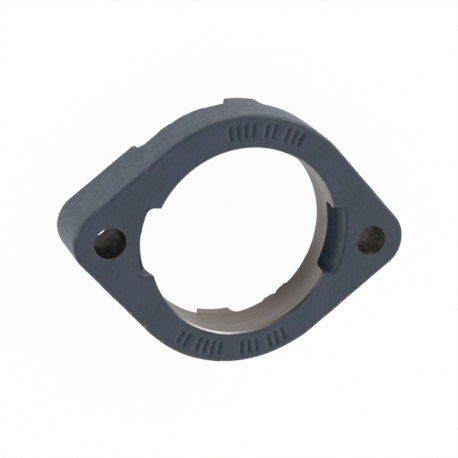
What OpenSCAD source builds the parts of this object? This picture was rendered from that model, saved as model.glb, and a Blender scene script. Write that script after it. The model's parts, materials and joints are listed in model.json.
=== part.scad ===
// Two-bolt flanged housing for an insert bearing, one iron casting with a machined seat.
// The origin is midway between the bolt holes on the mounting face. +Z runs along the bore
// to the front face, and +X runs along the line of the bolt holes.

/* [Bolting] */
// Distance between the two bolt holes
bolt_spacing = 100; // [98:0.5:120]
// Diameter of each bolt hole, which lets an M10 bolt through
bolt_hole_d = 11.5; // [9:0.5:12.5]
// Metal between each bolt hole and the arc of its ear
ear_wall = 6.35; // [5:0.05:9]
// How far outside its bolt hole the arc of each ear is centred
ear_shift = 0.9; // [0:0.1:3]

/* [Body] */
// Height from the mounting face to the front face
thickness = 22; // [20:0.5:30]
// Metal between the seat and the outer wall
rim_wall = 10.8; // [8:0.2:13]
// Rounding of the edge round the front face
edge_r = 1; // [0.5:0.25:4]

/* [Bearing seat] */
// Diameter of the spherical seat, as large as the outer ring of the insert bearing
seat_d = 72; // [66:0.5:75]
// Depth of the middle of the seat below the front face
seat_depth = 9.4; // [8:0.1:11]
// How far the round mouth stands in over the seat
seat_lip = 1.05; // [0.5:0.05:1.5]
// Chamfer of the mouth at the front face
mouth_chamfer = 0.6; // [0.3:0.05:1.5]

/* [Loading slots] */
// Width of the two slots that let the insert bearing in on its edge
slot_w = 25; // [21:0.5:30]
// Clearance between the seat and the end wall of each slot
slot_gap = 3.2; // [2.5:0.1:5]
// Rounding of the upright corners inside each slot
slot_corner_r = 2.5; // [2:0.25:4]
// Rounding along the floor of each slot
slot_floor_r = 1.5; // [0.5:0.25:1.75]

/* [Mounting face] */
// Depth of the cast recess in the mounting face
recess_depth = 4.8; // [3:0.1:6.5]
// How far the flat pad of each ear reaches from its bolt hole towards the bore
ear_pad_reach = 12.5; // [9:0.25:13.5]
// Width of the narrow pads above and below the bore
rib_pad_w = 12; // [6:0.5:24]
// Draft angle of the sides of the recess
recess_draft = 10; // [2:1:20]
// Rounding along the bottom of the recess
recess_r = 1.8; // [0.5:0.1:2.5]

/* [Hidden] */
$fn = 96;
// Facets round a small rounding or corner
small_fn = 32;
// How far each cutter runs past the face that it opens
over = 2;
// How much the rounding of the recess stands proud of its sides, so that they join cleanly
proud = 0.01;

bolt_x = bolt_spacing / 2;
ear_r = bolt_hole_d / 2 + ear_wall;
ear_x = bolt_x + ear_shift;

seat_r = seat_d / 2;
seat_z = thickness - seat_depth;
mouth_r = seat_r - seat_lip;
middle_r = seat_r + rim_wall;

slot_end_r = seat_r + slot_gap;
slot_depth = seat_depth + over;
// Centres of the upright corners at the end of a slot
slot_corner_y = slot_w / 2 - slot_corner_r;
slot_corner_x = sqrt(pow(slot_end_r - slot_corner_r, 2) - pow(slot_corner_y, 2));
slot_corner_angle = atan2(slot_corner_y, slot_corner_x);

// Upright section, from x = 0 out to x = reach, whose outer corner at the top is rounded
module rounded_section(reach, height, radius) {
    square([reach - radius, height]);
    square([reach, height - radius]);
    intersection() {
        translate([reach - radius, height - radius]) circle(r = radius, $fn = small_fn);
        translate([reach - radius, height - radius]) square(radius);
    }
}

// Oval body before anything is cut out of it: the middle and both ears, with straight flanks
module oval_body() {
    hull() {
        rotate_extrude() rounded_section(middle_r, thickness, edge_r);
        for (side = [-1, 1]) translate([side * ear_x, 0, 0])
            rotate_extrude() rounded_section(ear_r, thickness, edge_r);
    }
}

// Spherical seat with its round mouth, which is chamfered at the front
module seat_space() {
    translate([0, 0, seat_z]) sphere(r = seat_r);
    translate([0, 0, -over]) cylinder(r = mouth_r, h = thickness + 2 * over);
    translate([0, 0, thickness - mouth_chamfer])
        cylinder(r1 = mouth_r, r2 = mouth_r + mouth_chamfer + over, h = mouth_chamfer + over);
}

// Section of a loading slot, rounded along its floor at y = 0
module slot_section(reach) {
    translate([0, slot_depth]) mirror([0, 1]) rounded_section(reach, slot_depth, slot_floor_r);
}

// Loading slot at +X, open to the bore and to the front face
module slot_space() {
    translate([0, 0, seat_z]) hull() {
        // End wall, an arc about the bore
        rotate_extrude(start = -slot_corner_angle, angle = 2 * slot_corner_angle)
            slot_section(slot_end_r);
        for (flip = [0, 1]) mirror([0, flip, 0]) {
            // Side wall
            rotate([90, 0, 90]) linear_extrude(slot_corner_x) slot_section(slot_w / 2);
            // Upright corner between them
            translate([slot_corner_x, slot_corner_y, 0])
                rotate_extrude($fn = small_fn) slot_section(slot_corner_r);
        }
    }
}

// Section of the recess between the pad above the bore and the pad of the ear at +X
module recess_profile() {
    near_x = rib_pad_w / 2;
    far_x = bolt_x - ear_pad_reach;
    round_z = recess_depth - recess_r;
    // How far each round corner's centre stands in from its edge at the mounting face
    inset = round_z * tan(recess_draft) + recess_r / cos(recess_draft);
    touch = recess_r * [cos(recess_draft), sin(recess_draft)];
    polygon([
        [near_x - over * tan(recess_draft), -over],
        [near_x + inset - touch.x, round_z + touch.y],
        [near_x + inset, recess_depth],
        [far_x - inset, recess_depth],
        [far_x - inset + touch.x, round_z + touch.y],
        [far_x + over * tan(recess_draft), -over]
    ]);
    for (x = [near_x + inset, far_x - inset])
        translate([x, round_z]) circle(r = recess_r + proud);
}

// Recess that leaves four flat pads on the mounting face: two ears and two narrow pads
module recess_space() {
    for (side = [0, 1]) mirror([side, 0, 0])
        rotate([90, 0, 0])
            linear_extrude(2 * (middle_r + over), center = true) recess_profile();
}

module bolt_hole_space() {
    for (side = [-1, 1])
        translate([side * bolt_x, 0, -over]) cylinder(d = bolt_hole_d, h = thickness + 2 * over);
}

// The casting: oval body, machined seat, loading slots, recessed mounting face, bolt holes
module housing() {
    color("#4a5262")
    difference() {
        oval_body();
        seat_space();
        for (side = [0, 1]) mirror([side, 0, 0]) slot_space();
        recess_space();
        bolt_hole_space();
    }
}

housing();
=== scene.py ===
# %% [markdown]
# # A cast flange housing, painted and machined
#
# The object is one iron casting: an oval flange with a bolt hole in each ear and a ball-shaped
# seat for an insert bearing in the middle. Two slots in its front let the bearing in on its edge.
# This lesson makes it in the order a foundry and a machine shop would: first a blank with soft
# edges and a slightly uneven skin, then crisp cuts, each of which leaves its own finish behind.

# %% Load the frame
import json
import math
import bmesh
import bpy
from mathutils import Euler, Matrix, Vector, noise


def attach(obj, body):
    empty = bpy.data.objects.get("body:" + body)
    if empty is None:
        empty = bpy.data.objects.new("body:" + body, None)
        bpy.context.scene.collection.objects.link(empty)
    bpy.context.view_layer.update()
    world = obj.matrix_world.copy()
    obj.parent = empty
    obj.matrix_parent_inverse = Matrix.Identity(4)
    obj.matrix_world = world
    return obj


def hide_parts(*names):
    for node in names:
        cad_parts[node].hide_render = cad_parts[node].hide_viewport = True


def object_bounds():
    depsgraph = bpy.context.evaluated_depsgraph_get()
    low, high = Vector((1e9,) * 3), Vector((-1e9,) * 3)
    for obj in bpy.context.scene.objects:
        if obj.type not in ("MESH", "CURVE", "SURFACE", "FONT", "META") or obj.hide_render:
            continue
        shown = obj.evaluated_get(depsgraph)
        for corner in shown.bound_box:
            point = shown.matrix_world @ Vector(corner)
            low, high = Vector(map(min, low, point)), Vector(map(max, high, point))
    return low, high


MM = 0.001

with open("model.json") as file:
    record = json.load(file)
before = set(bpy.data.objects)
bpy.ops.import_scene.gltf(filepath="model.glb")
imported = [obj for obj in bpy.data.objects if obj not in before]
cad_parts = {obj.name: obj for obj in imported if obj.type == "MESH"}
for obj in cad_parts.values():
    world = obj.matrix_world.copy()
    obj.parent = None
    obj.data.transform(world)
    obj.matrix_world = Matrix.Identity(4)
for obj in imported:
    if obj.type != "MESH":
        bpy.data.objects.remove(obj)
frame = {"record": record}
cad_low, cad_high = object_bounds()
print("frame size in mm:", [round(side / MM, 2) for side in cad_high - cad_low])

# %% [markdown]
# ## Sizes
#
# The frame already knows the outer sizes and the bolting, so they are read from it and never
# written twice. What the frame does not say in numbers, such as the depth of the seat, is a
# named value here. Everything is in metres, and MM keeps the numbers easy to read. Sizes of the
# part are in small letters, and colours and settings are in capitals. A name that ends in RANGE
# holds the two places between which a ramp goes from one value to the other.

# %% Sizes of the casting
thickness = cad_high.z
middle_r = cad_high.y
bolting = next(mount for mount in frame["record"]["mounts"] if mount["name"] == "bolt_holes")
bolt_x = bolting["dims"]["spacing_x_mm"] / 2 * MM
bolt_hole_r = bolting["dims"]["hole_r_mm"] * MM
ear_shift = 0.9 * MM
ear_x = bolt_x + ear_shift
ear_r = cad_high.x - ear_x
edge_r = 1.0 * MM
seat_r = 36 * MM
seat_z = 12.6 * MM
mouth_r = 34.95 * MM
mouth_chamfer = 0.6 * MM
slot_end_r = 39.2 * MM
slot_half_w = 12.5 * MM
slot_corner_r = 2.5 * MM
slot_floor_r = 1.5 * MM
recess_depth = 4.8 * MM
recess_r = 1.8 * MM
recess_draft = math.radians(10)
rib_pad_half_w = 6 * MM
ear_pad_reach = 12.5 * MM
print("ear radius:", round(ear_r / MM, 2), "mm, bolts at", round(bolt_x / MM, 2), "mm")

# %% [markdown]
# ## Small tools
#
# Every solid below starts as a bmesh. These helpers stand a round bar or a block in a bmesh,
# stretch a skin over what is in it, and round its edges, so that each later cell can say only
# what it makes. OVER is how far a tool runs past the face that it opens, and NEARLY is how far
# apart two places may be and still count as the same.

# %% Helpers that shape a bmesh
ROUND_STEPS = 160
SAME_PLANE = math.radians(0.2)
OVER = 2 * MM
NEARLY = 0.01 * MM


def add_bar(mesh, radius, low, high, x=0.0):
    """A round bar along Z, from low to high."""
    made = bmesh.ops.create_cone(mesh, cap_ends=True, segments=ROUND_STEPS, radius1=radius,
                                 radius2=radius, depth=high - low)
    bmesh.ops.translate(mesh, verts=made["verts"], vec=(x, 0, (low + high) / 2))
    return made["verts"]


def add_block(mesh, low, high):
    """A block between two corners."""
    low, high = Vector(low), Vector(high)
    made = bmesh.ops.create_cube(mesh, size=1)
    bmesh.ops.scale(mesh, verts=made["verts"], vec=high - low)
    bmesh.ops.translate(mesh, verts=made["verts"], vec=(low + high) / 2)
    return made["verts"]


def wrap(mesh):
    """Stretches one convex skin over everything in the mesh, with whole flat faces."""
    bmesh.ops.delete(mesh, geom=mesh.faces[:] + mesh.edges[:], context="EDGES_FACES")
    bmesh.ops.convex_hull(mesh, input=mesh.verts)
    inner = [vert for vert in mesh.verts if not vert.link_faces]
    bmesh.ops.delete(mesh, geom=inner, context="VERTS")
    bmesh.ops.dissolve_limit(mesh, angle_limit=SAME_PLANE, verts=mesh.verts, edges=mesh.edges)


def round_edges(mesh, edges, radius, steps):
    """Rounds the edges to a radius."""
    bmesh.ops.bevel(mesh, geom=edges, offset=radius, segments=steps, profile=0.5,
                    affect="EDGES", material=-1)


print("round bars have", ROUND_STEPS, "sides")

# %% [markdown]
# A bmesh is only a sketch in memory. The next helpers turn it into an object, bake a modifier
# into the object's mesh, and use a Boolean modifier to cut one object out of another, the way a
# tool cuts metal.

# %% Helpers that make and cut objects
def make_object(mesh, name, material=None):
    """Turns a bmesh into an object whose faces point outwards."""
    bmesh.ops.recalc_face_normals(mesh, faces=mesh.faces)
    data = bpy.data.meshes.new(name)
    mesh.to_mesh(data)
    mesh.free()
    if material:
        data.materials.append(material)
    made = bpy.data.objects.new(name, data)
    bpy.context.scene.collection.objects.link(made)
    return made


def bake_modifiers(piece):
    """Replaces the mesh by what its modifiers make of it."""
    seen = piece.evaluated_get(bpy.context.evaluated_depsgraph_get())
    finished = bpy.data.meshes.new_from_object(seen)
    old = piece.data
    piece.modifiers.clear()
    piece.data = finished
    finished.name = piece.name
    bpy.data.meshes.remove(old)


def cut_away(piece, tool):
    """Cuts the tool's shape out of the piece. The new faces take the tool's material."""
    name = tool.name
    step = piece.modifiers.new(name, "BOOLEAN")
    step.operation = "DIFFERENCE"
    step.solver = "EXACT"
    step.material_mode = "TRANSFER"
    step.object = tool
    bake_modifiers(piece)
    bpy.data.objects.remove(tool)
    print("after the", name, "cut:", len(piece.data.polygons), "faces")


print("a cut leaves the finish of its tool")

# %% [markdown]
# ## Helpers for finishes
#
# A finish is a small graph of nodes. Its patterns start from where a point lies: plain noise
# gives blots, and noise that is stretched along an axis gives streaks or rings. All of them read
# Object coordinates, or a value that is stored on the mesh, so they are fixed to the iron.

# %% Helpers for patterns
TO_RIGHT, TO_TOP, TO_FRONT = (1, 0, 0), (0, 1, 0), (0, 0, 1)


class Pattern:
    """A new material, and the values that come from where a point lies on the object."""

    def __init__(self, name):
        """Starts the material and reads the object's coordinates."""
        self.material = bpy.data.materials.new(name)
        self.material.use_nodes = True
        self.nodes = self.material.node_tree.nodes
        self.links = self.material.node_tree.links
        self.shader = self.nodes["Principled BSDF"]
        self.place = self.nodes.new("ShaderNodeTexCoord").outputs["Object"]

    def stretched(self, scale):
        """The object's coordinates, multiplied along each axis."""
        mapping = self.nodes.new("ShaderNodeMapping")
        mapping.inputs["Scale"].default_value = scale
        self.links.new(self.place, mapping.inputs["Vector"])
        return mapping.outputs["Vector"]

    def noise(self, size, detail=3.0, rough=0.5, place=None):
        """Soft noise whose blots are about one size across."""
        node = self.nodes.new("ShaderNodeTexNoise")
        node.inputs["Scale"].default_value = 1 / size
        node.inputs["Detail"].default_value = detail
        node.inputs["Roughness"].default_value = rough
        self.links.new(place or self.place, node.inputs["Vector"])
        return node.outputs["Fac"]

    def measure(self, operation, vector):
        """One number from the object's coordinates and a vector."""
        node = self.nodes.new("ShaderNodeVectorMath")
        node.operation = operation
        node.inputs[1].default_value = vector
        self.links.new(self.place, node.inputs[0])
        return node.outputs["Value"]

    def along(self, direction):
        """How far along a direction a point lies, in metres."""
        return self.measure("DOT_PRODUCT", direction)

    def distance_from(self, point):
        """How far a point lies from the one that is given, in metres."""
        return self.measure("DISTANCE", point)

    def attribute(self, name):
        """A value stored at each vertex of the mesh."""
        node = self.nodes.new("ShaderNodeAttribute")
        node.attribute_name = name
        return node.outputs["Fac"]


print("right, top and front are", TO_RIGHT, TO_TOP, TO_FRONT)

# %% [markdown]
# The other helpers turn patterns into a look. A ramp makes a mask from a pattern, and the closer
# its ends are, the crisper the blots. A mix lays one colour over another through a mask, and a
# bump makes the light break on a height without moving the mesh.

# %% Helpers for masks and colours
class Finish(Pattern):
    """A material whose patterns become colour, gloss and bump."""

    def feed(self, socket, value):
        """Links an output to the socket, or sets a plain number or colour on it."""
        if isinstance(value, bpy.types.NodeSocket):
            self.links.new(value, socket)
        elif isinstance(value, tuple):
            socket.default_value = (*value, 1)
        else:
            socket.default_value = value

    def output(self, socket, value):
        """Sends a value to one of the shader's own sockets."""
        self.feed(self.shader.inputs[socket], value)

    def ramp(self, value, low, high, to_low=0.0, to_high=1.0):
        """Maps low to high onto another range, and holds it there."""
        node = self.nodes.new("ShaderNodeMapRange")
        node.inputs["From Min"].default_value = low
        node.inputs["From Max"].default_value = high
        self.feed(node.inputs["To Min"], to_low)
        self.feed(node.inputs["To Max"], to_high)
        self.links.new(value, node.inputs["Value"])
        return node.outputs["Result"]

    def times(self, first, second):
        """The product of two values."""
        node = self.nodes.new("ShaderNodeMath")
        node.operation = "MULTIPLY"
        for socket, value in zip(node.inputs, (first, second)):
            self.feed(socket, value)
        return node.outputs["Value"]

    def stripe(self, value, low, high, soft, strength):
        """A mask that is at its strength between low and high, with soft sides."""
        rise = self.ramp(value, low - soft, low)
        fall = self.ramp(value, high, high + soft, strength, 0.0)
        return self.times(rise, fall)

    def mix(self, mask, under, over):
        """The colour under, covered by the colour over where the mask is 1."""
        node = self.nodes.new("ShaderNodeMix")
        node.data_type = "RGBA"
        under_socket, over_socket = node.inputs[6], node.inputs[7]
        self.feed(node.inputs["Factor"], mask)
        self.feed(under_socket, under)
        self.feed(over_socket, over)
        return node.outputs[2]

    def bump(self, height, distance, after=None):
        """Bump from a height between 0 and 1, which stands for that distance."""
        node = self.nodes.new("ShaderNodeBump")
        node.inputs["Distance"].default_value = distance
        self.links.new(height, node.inputs["Height"])
        if after:
            self.links.new(after, node.inputs["Normal"])
        return node.outputs["Normal"]


print("a finish can:", [name for name in vars(Finish) if not name.startswith("_")])

# %% [markdown]
# ## The paint
#
# The casting wears a matt slate-blue primer. Seen close, it is never one colour: the sand of the
# mould gives it a fine grain, and the spray leaves it a little uneven. The walls are more mottled
# than the front, and a painted shade darkens them towards the mounting face. So the coat starts
# from two slates and gets its grain, and then the walls get a second pair of slates over them.

# %% The coat of primer
SLATE_GREEN = (0.067, 0.094, 0.122)
SLATE_BLUE = (0.089, 0.103, 0.152)
GRAIN_DARK = (0.05, 0.067, 0.095)
WALL_DARK = (0.06, 0.082, 0.11)
WALL_PALE = (0.112, 0.136, 0.172)
# A painted shade for the walls near the mounting face.
WALL_FOOT_SHADE = (0.048, 0.066, 0.09)
FOOT_SHADE_RANGE = (0, 9 * MM)
WALL_RANGE = (thickness - 2.5 * MM, thickness - 0.5 * MM)


def lay_coat(paint, grain):
    """The colour of the primer before it is worn."""
    cloud = paint.ramp(paint.noise(9 * MM, detail=5, rough=0.6), 0.38, 0.62)
    tone = paint.mix(cloud, SLATE_GREEN, SLATE_BLUE)
    tone = paint.mix(paint.ramp(grain, 0.35, 0.8, 0.0, 0.35), tone, GRAIN_DARK)
    blots = paint.ramp(paint.noise(5 * MM, detail=4, rough=0.6), 0.4, 0.6)
    mottled = paint.mix(blots, WALL_DARK, WALL_PALE)
    height = paint.along(TO_FRONT)
    # Painted shade: the walls get darker towards the mounting face.
    mottled = paint.mix(paint.ramp(height, *FOOT_SHADE_RANGE, 0.5, 0.0), mottled, WALL_FOOT_SHADE)
    walls = paint.ramp(height, *WALL_RANGE, 0.5, 0.0)
    return paint.mix(walls, tone, mottled)


print("slates from", SLATE_GREEN, "to", SLATE_BLUE)

# %% [markdown]
# Wear follows the shape. Masks that are stored on the mesh further down say where the skin
# stands out, where it is hollow and where a loading slot shelters it. Edges that stand out are
# rubbed pale in places, which is partly a painted highlight. The outer edges of the lower side,
# which take the knocks, are also brown and carry small pale chips. The slots and the hollows get
# a painted shade.

# %% Wear, painted highlight, painted shade and chips
EDGE_BROWN = (0.092, 0.075, 0.077)
# The pale rubbed colour is partly a painted highlight along the edges.
EDGE_RUBBED_AND_HIGHLIGHT = (0.21, 0.195, 0.185)
EDGE_CHIP = (0.33, 0.31, 0.29)
# The colours for the slots and the hollows are painted shade.
SLOT_SHADE = (0.028, 0.048, 0.05)
HOLLOW_SHADE = (0.022, 0.038, 0.044)
FACE_CHIP = (0.3, 0.29, 0.27)
LOWER_RANGE = (-12 * MM, 0)
OUTER_RANGE = (middle_r - 2.4 * MM, middle_r - 1.4 * MM)


def wear_and_highlight_edges(paint, tone):
    """Browns and chips the lower outer edges, and rubs all edges pale, partly a painted
    highlight.
    """
    edge_wear_and_highlight = paint.attribute("edge_wear_and_highlight")
    lower = paint.ramp(paint.along(TO_TOP), *LOWER_RANGE, 0.8, 0.0)
    outer = paint.ramp(paint.distance_from((0, 0, thickness)), *OUTER_RANGE)
    lower_edge = paint.times(edge_wear_and_highlight, paint.times(lower, outer))
    tone = paint.mix(lower_edge, tone, EDGE_BROWN)
    # Pale rubbed edges, which are partly a painted highlight.
    rubbed_and_highlit = paint.ramp(paint.noise(6 * MM, detail=5, rough=0.65), 0.48, 0.64, 0.0, 0.6)
    tone = paint.mix(paint.times(edge_wear_and_highlight, rubbed_and_highlit), tone, EDGE_RUBBED_AND_HIGHLIGHT)
    knocks = paint.ramp(paint.noise(1.6 * MM, detail=2), 0.64, 0.66)
    return paint.mix(paint.times(lower_edge, knocks), tone, EDGE_CHIP)


def add_shade_and_chips(paint, tone, hollow):
    """Painted shade in the slots and in the hollows, and a few chips anywhere."""
    # Painted shade in the loading slots.
    tone = paint.mix(paint.times(paint.attribute("sheltered"), 0.55), tone, SLOT_SHADE)
    # Painted shade in the hollows.
    tone = paint.mix(paint.times(hollow, 0.3), tone, HOLLOW_SHADE)
    chips = paint.ramp(paint.noise(2.3 * MM, detail=2), 0.79, 0.8, 0.0, 0.5)
    return paint.mix(chips, tone, FACE_CHIP)


print("edge wear runs from", EDGE_BROWN, "to", EDGE_CHIP)

# %% [markdown]
# The gloss follows the grain, except in the hollows, where the paint is made quite matt. Two
# bumps make the surface: the fine grain of the sand, and a broader unevenness under it.

# %% Put the paint together
def make_paint():
    """The whole finish of the cast skin."""
    paint = Finish("slate_primer")
    grain = paint.noise(1.1 * MM, detail=5, rough=0.6)
    hollow = paint.attribute("hollow")
    tone = wear_and_highlight_edges(paint, lay_coat(paint, grain))
    paint.output("Base Color", add_shade_and_chips(paint, tone, hollow))
    gloss = paint.ramp(grain, 0.3, 0.7, 0.38, 0.55)
    paint.output("Roughness", paint.ramp(hollow, 0.0, 1.0, gloss, 1.0))
    fine = paint.bump(grain, 0.09 * MM)
    broad = paint.bump(paint.noise(3.2 * MM, detail=2), 0.12 * MM, after=fine)
    paint.output("Normal", broad)
    return paint.material


paint = make_paint()
print("finish:", paint.name, "with", len(paint.node_tree.nodes), "nodes")

# %% [markdown]
# ## The turned iron of the seat
#
# The seat is turned on a lathe, so its marks run round the bore: noise that is stretched flat
# makes rings. Bare iron also keeps the traces of hands and oil. Two soft patches of painted shade
# darken its lower right, a painted dark reflection browns it near the mouth, and two dark rings
# stand where the tool paused. A patch of shade is given by its middle and its reach, and a ring
# by its two heights, its softness, its strength and its colour.

# %% Rings, smudges, painted shade and a painted reflection
SEAT_PALE = (0.285, 0.236, 0.215)
SEAT_DULL = (0.22, 0.184, 0.163)
SEAT_BAND = (0.25, 0.213, 0.192)
SEAT_GROOVE = (0.14, 0.12, 0.105)
SEAT_SMUDGE = (0.15, 0.135, 0.108)
# Painted shade for two patches at the lower right of the seat.
SEAT_LOWER_SHADE = (0.088, 0.07, 0.059)
# A painted dark reflection near the mouth.
SEAT_MOUTH_REFLECTION = (0.168, 0.142, 0.12)
MOUTH_REFLECTION_RANGE = (16 * MM, 19.5 * MM)
SHADE_PATCH_CORE = 4 * MM
SEAT_SHADE_PATCHES_MM = (((25, -25, 3), 19), ((32, -16, 6), 15))
DARK_RINGS = ((17.4 * MM, 17.9 * MM, 0.5 * MM, 0.4, (0.07, 0.06, 0.05)),
              (20.6 * MM, 21.1 * MM, 0.3 * MM, 0.7, (0.06, 0.052, 0.045)))


def turned_tone(iron, rings, height):
    """The colour of the seat, without its chamfer."""
    patina = iron.ramp(iron.noise(14 * MM, detail=4), 0.35, 0.65)
    tone = iron.mix(patina, SEAT_PALE, SEAT_DULL)
    bands = iron.noise(4 * MM, detail=2, place=iron.stretched((0.05, 0.05, 1)))
    tone = iron.mix(iron.ramp(bands, 0.35, 0.7), tone, SEAT_BAND)
    tone = iron.mix(iron.ramp(rings, 0.4, 0.7, 0.0, 0.5), tone, SEAT_GROOVE)
    smudge = iron.ramp(iron.noise(8 * MM, detail=5, rough=0.6), 0.5, 0.68, 0.0, 0.7)
    tone = iron.mix(smudge, tone, SEAT_SMUDGE)
    # Two patches of painted shade at the lower right of the seat.
    for centre, reach in SEAT_SHADE_PATCHES_MM:
        distance = iron.distance_from(Vector(centre) * MM)
        shade_patch = iron.ramp(distance, SHADE_PATCH_CORE, reach * MM, 0.68, 0.0)
        tone = iron.mix(shade_patch, tone, SEAT_LOWER_SHADE)
    # A painted dark reflection browns the seat near the mouth.
    tone = iron.mix(iron.ramp(height, *MOUTH_REFLECTION_RANGE, 0.0, 0.75), tone, SEAT_MOUTH_REFLECTION)
    for low, high, soft, strength, shade in DARK_RINGS:
        tone = iron.mix(iron.stripe(height, low, high, soft, strength), tone, shade)
    return tone


print("stains on the seat:", len(SEAT_SHADE_PATCHES_MM), "dark rings:", len(DARK_RINGS))

# %% [markdown]
# The narrow chamfer at the mouth is the brightest line of the casting. At the lower right, near
# the painted shade of the seat, it gets a painted shade, and on the upper left the paint spray
# reached over it.

# %% The chamfer and the finished seat
CHAMFER_BRIGHT = (0.37, 0.355, 0.34)
# A painted shade for the chamfer at the lower right.
CHAMFER_SHADE = (0.1, 0.09, 0.07)
OVERSPRAY = (0.07, 0.08, 0.1)
CHAMFER_SHADE_PLACE = (30 * MM, -20 * MM, thickness)
CHAMFER_SHADE_RANGE = (8 * MM, 22 * MM)
AWAY_FROM_SPRAY = (1, -0.6, 0)
SPRAY_RANGE = (-9 * MM, 0)
CHAMFER_RANGE = (thickness - mouth_chamfer - 0.15 * MM, thickness - mouth_chamfer)


def chamfer_tone(iron):
    """The colour of the chamfer round the mouth."""
    # A painted shade on the chamfer at the lower right.
    chamfer_shade_mask = iron.ramp(iron.distance_from(CHAMFER_SHADE_PLACE), *CHAMFER_SHADE_RANGE, 0.85, 0.0)
    tone = iron.mix(chamfer_shade_mask, CHAMFER_BRIGHT, CHAMFER_SHADE)
    sprayed = iron.ramp(iron.along(AWAY_FROM_SPRAY), *SPRAY_RANGE, 0.85, 0.0)
    return iron.mix(sprayed, tone, OVERSPRAY)


def make_turned_iron():
    """The finish that the boring bar leaves."""
    iron = Finish("turned_iron")
    rings = iron.noise(0.4 * MM, detail=3, place=iron.stretched((0.004, 0.004, 1)))
    height = iron.along(TO_FRONT)
    on_chamfer = iron.ramp(height, *CHAMFER_RANGE)
    tone = iron.mix(on_chamfer, turned_tone(iron, rings, height), chamfer_tone(iron))
    iron.output("Base Color", tone)
    iron.output("Metallic", 0.7)
    iron.output("Roughness", iron.ramp(rings, 0.3, 0.7, 0.28, 0.42))
    iron.output("Normal", iron.bump(rings, 0.02 * MM))
    return iron.material


turned_iron = make_turned_iron()
print("finish:", turned_iron.name, "with", len(turned_iron.node_tree.nodes), "nodes")

# %% [markdown]
# ## The milled and drilled iron
#
# The pads are milled, which leaves straight marks, so their noise is stretched along one axis.
# The drilled holes are dark and brown with light rust, because nothing covers them, and a
# painted shade darkens them towards both ends. The left one gets more painted shade as well,
# most of all near the front.

# %% Milled pads
PAD_PALE = (0.4, 0.37, 0.34)
PAD_DULL = (0.3, 0.26, 0.22)
PAD_MARK = (0.22, 0.2, 0.18)


def make_milled_iron():
    """The finish that the milling cutter leaves."""
    iron = Finish("milled_iron")
    sweeps = iron.noise(0.5 * MM, detail=3, place=iron.stretched((1, 0.02, 1)))
    patina = iron.ramp(iron.noise(9 * MM, detail=4), 0.3, 0.7)
    tone = iron.mix(patina, PAD_PALE, PAD_DULL)
    tone = iron.mix(iron.ramp(sweeps, 0.45, 0.75, 0.0, 0.4), tone, PAD_MARK)
    iron.output("Base Color", tone)
    iron.output("Metallic", 0.6)
    iron.output("Roughness", iron.ramp(sweeps, 0.3, 0.7, 0.35, 0.5))
    iron.output("Normal", iron.bump(sweeps, 0.02 * MM))
    return iron.material


milled_iron = make_milled_iron()
print("finish:", milled_iron.name, "with", len(milled_iron.node_tree.nodes), "nodes")

# %% Drilled holes
DRILL_DARK = (0.16, 0.135, 0.115)
DRILL_PALE = (0.62, 0.53, 0.43)
DRILL_RUST = (0.17, 0.1, 0.07)
# Painted shade: at both ends of the holes, and more in the left hole.
DRILL_END_SHADE = (0.05, 0.042, 0.037)
DRILL_LEFT_SHADE = (0.021, 0.012, 0.011)
FRONT_SHADE_RANGE = (10 * MM, 20 * MM)
BACK_SHADE_RANGE = (1 * MM, 6 * MM)
LEFT_SHADE_ACROSS_RANGE = (-10 * MM, 10 * MM)
LEFT_SHADE_HEIGHT_RANGE = (5 * MM, 15 * MM)


def make_drilled_iron():
    """The finish that the drill leaves."""
    iron = Finish("drilled_iron")
    streaks = iron.noise(2.2 * MM, detail=4, place=iron.stretched((1, 1, 0.5)))
    tone = iron.mix(iron.ramp(streaks, 0.38, 0.62), DRILL_DARK, DRILL_PALE)
    rust = iron.ramp(iron.noise(2.6 * MM, detail=5), 0.52, 0.66, 0.0, 0.7)
    tone = iron.mix(rust, tone, DRILL_RUST)
    height = iron.along(TO_FRONT)
    # Painted shade towards both ends of the holes.
    tone = iron.mix(iron.ramp(height, *FRONT_SHADE_RANGE, 0.0, 0.7), tone, DRILL_END_SHADE)
    tone = iron.mix(iron.ramp(height, *BACK_SHADE_RANGE, 0.5, 0.0), tone, DRILL_END_SHADE)
    # More painted shade in the left hole, most of all near the front.
    on_left = iron.ramp(iron.along(TO_RIGHT), *LEFT_SHADE_ACROSS_RANGE, 1.0, 0.0)
    near_front = iron.ramp(height, *LEFT_SHADE_HEIGHT_RANGE, 0.45, 1.0)
    tone = iron.mix(iron.times(on_left, near_front), tone, DRILL_LEFT_SHADE)
    iron.output("Base Color", tone)
    iron.output("Metallic", 0.3)
    iron.output("Specular IOR Level", 0.15)
    iron.output("Roughness", iron.ramp(streaks, 0.3, 0.7, 0.5, 0.75))
    iron.output("Normal", iron.bump(streaks, 0.06 * MM))
    return iron.material


drilled_iron = make_drilled_iron()
print("finish:", drilled_iron.name, "with", len(drilled_iron.node_tree.nodes), "nodes")

# %% [markdown]
# ## The blank
#
# A pattern maker draws this outline as three discs with straight flanks that touch them. A
# convex hull round three bars gives the same outline with no sum to work out. The hull is made
# of triangles, so flat neighbours are dissolved into clean faces before the front edge is
# rounded. The blank stands a little deeper than the part, because the pads are milled later.

# %% The outline and its rounded front edge
mill_allowance = 0.8 * MM
blank_low = -mill_allowance

blank = bmesh.new()
add_bar(blank, middle_r, blank_low, thickness)
for side in (-1, 1):
    add_bar(blank, ear_r, blank_low, thickness, side * ear_x)
wrap(blank)
front_edges = [edge for edge in blank.edges
               if all(vert.co.z > thickness - NEARLY for vert in edge.verts)]
round_edges(blank, front_edges, edge_r, steps=8)
print("blank:", len(blank.faces), "faces,", len(front_edges), "front edges rounded")

# %% [markdown]
# ## The cores
#
# What a mould keeps hollow is a core. Three kinds are needed: a round one for the raw bore, one
# across the front for both loading slots, and one on each side for the recess in the mounting
# face. The slot core is wrapped round a strip of a wide disc and four small bars, so that its
# ends follow the bore and its upright corners are round. The edges along its floor are rounded
# last.

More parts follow.
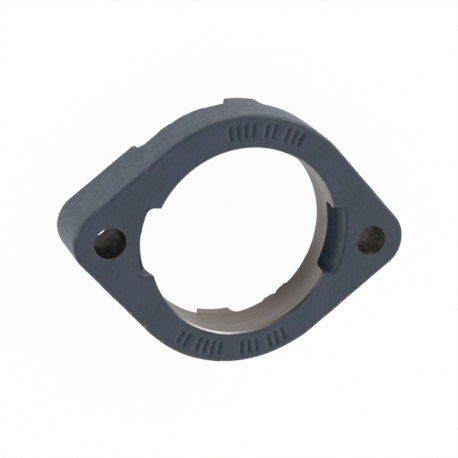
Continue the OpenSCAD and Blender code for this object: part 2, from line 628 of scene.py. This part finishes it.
# %% The slot core
def slot_core():
    """What keeps both loading slots hollow."""
    core = bmesh.new()
    add_bar(core, slot_end_r, seat_z, thickness + OVER)
    corner_y = slot_half_w - slot_corner_r
    touch_y = corner_y * slot_end_r / (slot_end_r - slot_corner_r)
    past = [vert for vert in core.verts if abs(vert.co.y) > touch_y]
    bmesh.ops.delete(core, geom=past, context="VERTS")
    corner_x = math.sqrt((slot_end_r - slot_corner_r) ** 2 - corner_y ** 2)
    for x, y in ((-1, -1), (-1, 1), (1, -1), (1, 1)):
        corner = add_bar(core, slot_corner_r, seat_z, thickness + OVER, x * corner_x)
        bmesh.ops.translate(core, verts=corner, vec=(0, y * corner_y, 0))
    wrap(core)
    floor_edges = [edge for edge in core.edges
                   if all(vert.co.z < seat_z + NEARLY for vert in edge.verts)]
    round_edges(core, floor_edges, slot_floor_r, steps=4)
    print("slot core:", len(floor_edges), "floor edges rounded")
    return core


slot_tool = make_object(slot_core(), "slot_core")

# %% [markdown]
# The recess core is a block whose walls lean in by the draft that lets a pattern leave the sand.
# Its two long edges are rounded. The other side's core is the same one, mirrored.

# %% The recess cores
def recess_core(side):
    """What keeps the recess on one side of the mounting face hollow."""
    core = bmesh.new()
    low_z = blank_low - OVER
    near, far = rib_pad_half_w, bolt_x - ear_pad_reach
    add_block(core, (near, -middle_r - OVER, low_z), (far, middle_r + OVER, recess_depth))
    top = [vert for vert in core.verts if vert.co.z > 0]
    bottom = [vert for vert in core.verts if vert.co.z < 0]
    middle_x = (near + far) / 2
    for group, height in ((top, recess_depth), (bottom, low_z)):
        for vert in group:
            towards = 1 if vert.co.x < middle_x else -1
            vert.co.x += towards * height * math.tan(recess_draft)
    long_edges = [edge for edge in core.edges
                  if all(vert.co.z > 0 for vert in edge.verts)
                  and abs(edge.verts[0].co.x - edge.verts[1].co.x) < NEARLY]
    round_edges(core, long_edges, recess_r, steps=6)
    bmesh.ops.scale(core, verts=core.verts, vec=(side, 1, 1))
    return core


recess_tools = [make_object(recess_core(side), "recess_core") for side in (-1, 1)]
print("recess cores:", len(recess_tools))

# %% The core of the raw bore
raw_bore_r = 33.4 * MM

bore_core = bmesh.new()
add_bar(bore_core, raw_bore_r, blank_low - OVER, thickness + OVER)
bore_tool = make_object(bore_core, "bore_core")
print("the raw bore leaves", round((mouth_r - raw_bore_r) / MM, 2), "mm to turn away")

# %% [markdown]
# ## Foundry marks
#
# The mould leaves plain tally bars on the casting: shallow ones sunk in the front face above and
# below the bore, and low raised ones on the recessed back, where they break the line of the edge
# when seen from the front. Each bar is a block that is turned round the bore. A group of bars is
# given by its first angle, its last angle and how many bars it has.

# %% The marks sunk in the front face
def add_marks(mesh, radius, angles, length, width, low, high):
    """Plain bars that point at the bore, one at each angle in degrees."""
    for angle in angles:
        made = add_block(mesh, (-length / 2, -width / 2, low), (length / 2, width / 2, high))
        bmesh.ops.translate(mesh, verts=made, vec=(radius, 0, 0))
        turn = Euler((0, 0, math.radians(angle))).to_matrix()
        bmesh.ops.rotate(mesh, verts=made, cent=(0, 0, 0), matrix=turn)


def spread(first, last, count):
    """Angles spaced evenly from first to last."""
    return [first + (last - first) * step / (count - 1) for step in range(count)]


mark_r = 41.2 * MM
mark_length, mark_width, mark_depth = 5.8 * MM, 1.4 * MM, 0.8 * MM
tally = ((67, 75, 3), (82, 86, 2), (93, 105, 4), (-119, -115, 2), (-108, -96, 4), (-84, -76, 3),
         (-69, -61, 3))

sunk = bmesh.new()
for group in tally:
    add_marks(sunk, mark_r, spread(*group), mark_length, mark_width,
              thickness - mark_depth, thickness + OVER)
mark_tool = make_object(sunk, "sunk_marks")
print("sunk marks:", sum(count for first, last, count in tally))

# %% [markdown]
# The raised bars go into one bmesh too. Each group adds its distance from the bore's middle and
# the length and width of its bars. They start a little inside the metal, so that they become one
# with it.

# %% The marks raised on the back
raised_root = 1.0 * MM
raised_groups = ((36.6 * MM, (-55.3, -45.1, 2), 3.6 * MM, 4.0 * MM),
                 (44.4 * MM, (112.5, 128, 3), 4.0 * MM, 5.2 * MM))

raised = bmesh.new()
for radius, group, length, width in raised_groups:
    add_marks(raised, radius, spread(*group), length, width,
              recess_depth - raised_root, recess_depth + OVER)
bmesh.ops.recalc_face_normals(raised, faces=raised.faces)
print("raised marks:", sum(group[2] for radius, group, length, width in raised_groups))

# %% [markdown]
# ## Casting
#
# The cores are cut out of the blank and the raised bars are added. A voxel remesh then turns the
# whole body into one even skin, as if it were poured, and two rounds of smoothing take the
# sharpness off every edge. Last, low noise moves the skin in and out by about a tenth of a
# millimetre, which is what makes the outline look cast and not drawn.

# %% Cut the cores out of the blank
casting = make_object(blank, "housing_casting", paint)
for tool in [bore_tool, slot_tool, *recess_tools, mark_tool]:
    cut_away(casting, tool)

# %% Add the raised bars
extra = bpy.data.meshes.new("raised_marks")
raised.to_mesh(extra)
raised.free()
joined = bmesh.new()
joined.from_mesh(casting.data)
joined.from_mesh(extra)
joined.to_mesh(casting.data)
joined.free()
bpy.data.meshes.remove(extra)
print("with the raised bars:", len(casting.data.polygons), "faces")

# %% Pour it all as one skin
VOXEL = 0.52 * MM

skin = casting.modifiers.new("skin", "REMESH")
skin.mode = "VOXEL"
skin.voxel_size = VOXEL
skin.use_smooth_shade = True
bake_modifiers(casting)
print("casting:", len(casting.data.polygons), "faces")

# %% Soften the edges and let the skin wander
SMOOTHING_ROUNDS = 2
WAVE_HEIGHT, WAVE_SIZE = 0.16 * MM, 9 * MM
SAND_HEIGHT, SAND_SIZE = 0.06 * MM, 1.8 * MM

mesh = bmesh.new()
mesh.from_mesh(casting.data)
for _ in range(SMOOTHING_ROUNDS):
    bmesh.ops.smooth_vert(mesh, verts=mesh.verts, factor=0.5, use_axis_x=True,
                          use_axis_y=True, use_axis_z=True)
mesh.normal_update()
moves = []
for vert in mesh.verts:
    wave = WAVE_HEIGHT * noise.noise(vert.co / WAVE_SIZE)
    sand = SAND_HEIGHT * noise.noise(vert.co / SAND_SIZE)
    moves.append(wave + sand)
    vert.co += vert.normal * (wave + sand)
mesh.to_mesh(casting.data)
mesh.free()
print("the skin moved by", round(min(moves) / MM, 2), "to", round(max(moves) / MM, 2), "mm")

# %% [markdown]
# ## Machining
#
# Now the crisp cuts. The boring bar's path is a profile spun round the bore: the narrow land at
# the back, the ball of the seat and the chamfered mouth. The drill makes both bolt holes, and
# the milling cutter takes the pads down to the mounting plane. Each tool carries the finish
# that it leaves, so paint stays only where nothing was cut.

# %% The boring tool
ARC_STEPS = 24
WELD = 0.001 * MM


def draw_line(tool, start, points):
    """Edges from a vertex through points that are given as x and z."""
    last = start
    for x, z in points:
        following = tool.verts.new((x, 0, z))
        tool.edges.new((last, following))
        last = following


def seat_tool():
    """All that the boring bar sweeps: the ball, the mouth with its chamfer, and the land."""
    tool = bmesh.new()
    below = math.acos(mouth_r / seat_r)
    above = math.asin((thickness - mouth_chamfer - seat_z) / seat_r)
    centre = Vector((0, 0, seat_z))
    start = tool.verts.new(centre + seat_r * Vector((math.cos(below), 0, -math.sin(below))))
    arc = bmesh.ops.spin(tool, geom=[start], cent=centre, axis=(0, -1, 0),
                         angle=below + above, steps=ARC_STEPS)
    last = next(part for part in arc["geom_last"] if isinstance(part, bmesh.types.BMVert))
    rim_r = mouth_r + mouth_chamfer
    draw_line(tool, last, [(rim_r, thickness), (rim_r + OVER, thickness + OVER),
                           (0, thickness + OVER)])
    draw_line(tool, start, [(mouth_r, -OVER), (0, -OVER)])
    bmesh.ops.spin(tool, geom=tool.verts[:] + tool.edges[:], cent=(0, 0, 0), axis=(0, 0, 1),
                   angle=2 * math.pi, steps=2 * ROUND_STEPS, use_merge=True)
    bmesh.ops.remove_doubles(tool, verts=tool.verts, dist=WELD)
    return tool


boring_tool = make_object(seat_tool(), "boring_tool", turned_iron)
print("boring tool:", len(boring_tool.data.polygons), "faces")

# %% Cut the seat, the bolt holes and the pads
cut_away(casting, boring_tool)

drills = bmesh.new()
for side in (-1, 1):
    add_bar(drills, bolt_hole_r, blank_low - OVER, thickness + OVER, side * bolt_x)
cut_away(casting, make_object(drills, "drills", drilled_iron))

mill_reach, mill_depth = 2 * bolt_x, 10 * MM
mill = bmesh.new()
add_block(mill, (-mill_reach, -mill_reach, -mill_depth), (mill_reach, mill_reach, 0))
cut_away(casting, make_object(mill, "mill", milled_iron))

# %% [markdown]
# ## Sharp and soft edges
#
# Cast skin is shaded smooth everywhere. Where a cut meets it, or where two cut faces meet at an
# angle, the edge is marked sharp, so the light breaks there as it does on machined iron. The
# cuts leave pairs of vertices in one place, and they are merged first.

# %% Merge the cuts and mark the sharp edges
SHARP_ANGLE = math.radians(25)
FINE_WELD = 0.0005 * MM

mesh = bmesh.new()
mesh.from_mesh(casting.data)
bmesh.ops.remove_doubles(mesh, verts=mesh.verts, dist=FINE_WELD)
for face in mesh.faces:
    face.smooth = True
sharp = 0
for edge in mesh.edges:
    pair = edge.link_faces
    if len(pair) == 2:
        two_finishes = pair[0].material_index != pair[1].material_index
        two_cuts = pair[0].material_index > 0 and edge.calc_face_angle(0) > SHARP_ANGLE
        edge.smooth = not (two_finishes or two_cuts)
        sharp += not edge.smooth
mesh.normal_update()
mesh.verts.index_update()
print("sharp edges:", sharp)

# %% [markdown]
# ## Masks for the paint
#
# How far each point of the skin stands out from its neighbours is measured and averaged twice.
# That is stored as two masks: the paint looks rubbed, partly with a painted highlight, where the
# skin stands out, and gets a painted shade where it is hollow. A third mask marks the walls and
# rims of the loading slots, which get a painted shade, and where no cloth reaches, so the rims
# there lose their wear and highlight.

# %% Measure how far the skin stands out
SKIN_MASKS = {"edge_wear_and_highlight": (0.02, 0.09), "hollow": (-0.012, -0.06)}


def averaged(mesh, values):
    """Each vertex's value, averaged with those of its neighbours."""
    result = []
    for vert in mesh.verts:
        near = [values[edge.other_vert(vert).index] for edge in vert.link_edges]
        result.append((values[vert.index] + sum(near)) / (1 + len(near)))
    return result


standing = []
for vert in mesh.verts:
    steps = [(edge.other_vert(vert).co - vert.co).normalized() for edge in vert.link_edges]
    standing.append(-sum(step.dot(vert.normal) for step in steps) / max(len(steps), 1))
standing = averaged(mesh, averaged(mesh, standing))
for name, (start, full) in SKIN_MASKS.items():
    layer = mesh.verts.layers.float.new(name)
    for vert, value in zip(mesh.verts, standing):
        vert[layer] = min(max((value - start) / (full - start), 0.0), 1.0)
print("the skin stands out by", round(min(standing), 2), "to", round(max(standing), 2))

# %% Mark what the slots shelter
END_RIM, SIDE_RIM, FLOOR_CLEAR = 1 * MM, 0.5 * MM, 1 * MM

edge_wear_and_highlight = mesh.verts.layers.float["edge_wear_and_highlight"]
sheltered = mesh.verts.layers.float.new("sheltered")
marked = 0
for vert in mesh.verts:
    in_length = vert.co.xy.length < slot_end_r + END_RIM
    in_width = abs(vert.co.y) < slot_half_w + SIDE_RIM
    if in_length and in_width and vert.co.z > seat_z + FLOOR_CLEAR:
        vert[sheltered] = 1
        vert[edge_wear_and_highlight] = 0
        marked += 1
mesh.to_mesh(casting.data)
mesh.free()
triangles = sum(len(face.vertices) - 2 for face in casting.data.polygons)
print("sheltered vertices:", marked, "triangles:", triangles)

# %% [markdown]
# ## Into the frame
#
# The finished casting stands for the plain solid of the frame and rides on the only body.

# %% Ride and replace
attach(casting, "root")
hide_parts("housing")
print("pieces:", casting.name)

# %% [markdown]
# ## Camera
#
# The photograph was taken from the upper left, with a long lens. The part lies on its back, so
# the camera looks down on it, and up in the picture is the part's +Y.

# %% The camera
SENSOR_WIDTH, LENS = 36, 125.96
CAMERA_PLACE = (-0.21652, 0.18708, 0.51336)
CAMERA_DEGREES = (-21.597, -20.566, 7.457)

camera_data = bpy.data.cameras.new("camera")
camera_data.sensor_width = SENSOR_WIDTH
camera_data.lens = LENS
camera = bpy.data.objects.new("camera", camera_data)
camera.location = CAMERA_PLACE
camera.rotation_euler = [math.radians(angle) for angle in CAMERA_DEGREES]
bpy.context.scene.collection.objects.link(camera)
bpy.context.scene.camera = camera
bpy.context.scene.view_settings.view_transform = "Standard"
print("camera at", [round(value / MM, 1) for value in camera.location], "mm")

# %% [markdown]
# ## Floor and light
#
# The picture looks like one from a light tent: white cloth all round, with a dim opening on the
# camera's side. That is why the front is darker than the side walls, and why the mouth of the
# bore has a bright line on one side and a dark one on the other. The world is such a tent, and
# two soft lamps give it a direction. What the camera sees of the floor is nearly all plain
# white, and the small rest is the lit floor, which keeps the part's shadow.

# %% The floor
FLOOR_WHITE_SHARE = 0.97
FLOOR_SHADE = (0.9, 0.9, 0.9, 1)
FLOOR_ROUGHNESS = 0.9
FLOOR_REACH = 6.0
FLOOR_DROP = 0.05 * MM
SEEN_PLAINLY = ("Is Camera Ray", "Is Glossy Ray", "Is Transmission Ray")


def seen_rays(nodes, links, names):
    """1 on the kinds of ray that are named, and 0 on the others."""
    path = nodes.new("ShaderNodeLightPath")
    found = path.outputs[names[0]]
    for name in names[1:]:
        either = nodes.new("ShaderNodeMath")
        either.operation = "MAXIMUM"
        links.new(found, either.inputs[0])
        links.new(path.outputs[name], either.inputs[1])
        found = either.outputs["Value"]
    return found


def make_floor_material():
    """Lit grey, covered by plain white for the rays that see it plainly."""
    material = bpy.data.materials.new("pale_floor")
    material.use_nodes = True
    nodes, links = material.node_tree.nodes, material.node_tree.links
    lit = nodes["Principled BSDF"]
    lit.inputs["Base Color"].default_value = FLOOR_SHADE
    lit.inputs["Roughness"].default_value = FLOOR_ROUGHNESS
    white = nodes.new("ShaderNodeEmission")
    share = nodes.new("ShaderNodeMath")
    share.operation = "MULTIPLY"
    share.inputs[1].default_value = FLOOR_WHITE_SHARE
    blend = nodes.new("ShaderNodeMixShader")
    links.new(seen_rays(nodes, links, SEEN_PLAINLY), share.inputs[0])
    links.new(share.outputs["Value"], blend.inputs["Fac"])
    links.new(lit.outputs["BSDF"], blend.inputs[1])
    links.new(white.outputs["Emission"], blend.inputs[2])
    links.new(blend.outputs["Shader"], nodes["Material Output"].inputs["Surface"])
    return material


ground = bmesh.new()
bmesh.ops.create_grid(ground, x_segments=1, y_segments=1, size=FLOOR_REACH)
bmesh.ops.translate(ground, verts=ground.verts, vec=(0, 0, -FLOOR_DROP))
floor = make_object(ground, "floor", make_floor_material())
print("floor at", round(floor.data.vertices[0].co.z / MM, 2), "mm")

# %% The tent
TENT_BRIGHT, OPENING_DIM = 1.0, 0.07
OPENING_EDGE, OPENING_CORE = math.radians(84), math.radians(30)


def make_tent():
    """White cloth all round, dimmed towards the camera's side."""
    world = bpy.data.worlds.new("light_tent")
    bpy.context.scene.world = world
    world.use_nodes = True
    nodes, links = world.node_tree.nodes, world.node_tree.links
    cloth = nodes["Background"]
    cloth.inputs["Color"].default_value = (1, 1, 1, 1)
    direction = nodes.new("ShaderNodeTexCoord").outputs["Generated"]
    facing = nodes.new("ShaderNodeVectorMath")
    facing.operation = "DOT_PRODUCT"
    facing.inputs[1].default_value = camera.location.normalized()
    links.new(direction, facing.inputs[0])
    dimming = nodes.new("ShaderNodeMapRange")
    dimming.interpolation_type = "SMOOTHSTEP"
    dimming.inputs["From Min"].default_value = math.cos(OPENING_EDGE)
    dimming.inputs["From Max"].default_value = math.cos(OPENING_CORE)
    dimming.inputs["To Min"].default_value = TENT_BRIGHT
    dimming.inputs["To Max"].default_value = OPENING_DIM
    links.new(facing.outputs["Value"], dimming.inputs["Value"])
    links.new(dimming.outputs["Result"], cloth.inputs["Strength"])


make_tent()
print("world:", bpy.context.scene.world.name)

# %% The lamps
SOFTBOX_SIZE = 0.6
SOFTBOXES = {"softbox_right": ((0.6, 0.75, 0.35), 3.6, (1, 0.99, 0.97)),
             "softbox_left": ((-0.8, 0.05, 0.35), 2.1, (0.7, 0.9, 1))}


def add_softbox(name, place, power, tint):
    """A square soft lamp that looks at the middle of the part."""
    lamp = bpy.data.lights.new(name, "AREA")
    lamp.shape = "SQUARE"
    lamp.size = SOFTBOX_SIZE
    lamp.energy = power
    lamp.color = tint
    made = bpy.data.objects.new(name, lamp)
    made.location = place
    made.rotation_euler = (-Vector(place)).to_track_quat("-Z", "Y").to_euler()
    bpy.context.scene.collection.objects.link(made)


for name, (place, power, tint) in SOFTBOXES.items():
    add_softbox(name, place, power, tint)
print("lamps:", list(SOFTBOXES))

# %% [markdown]
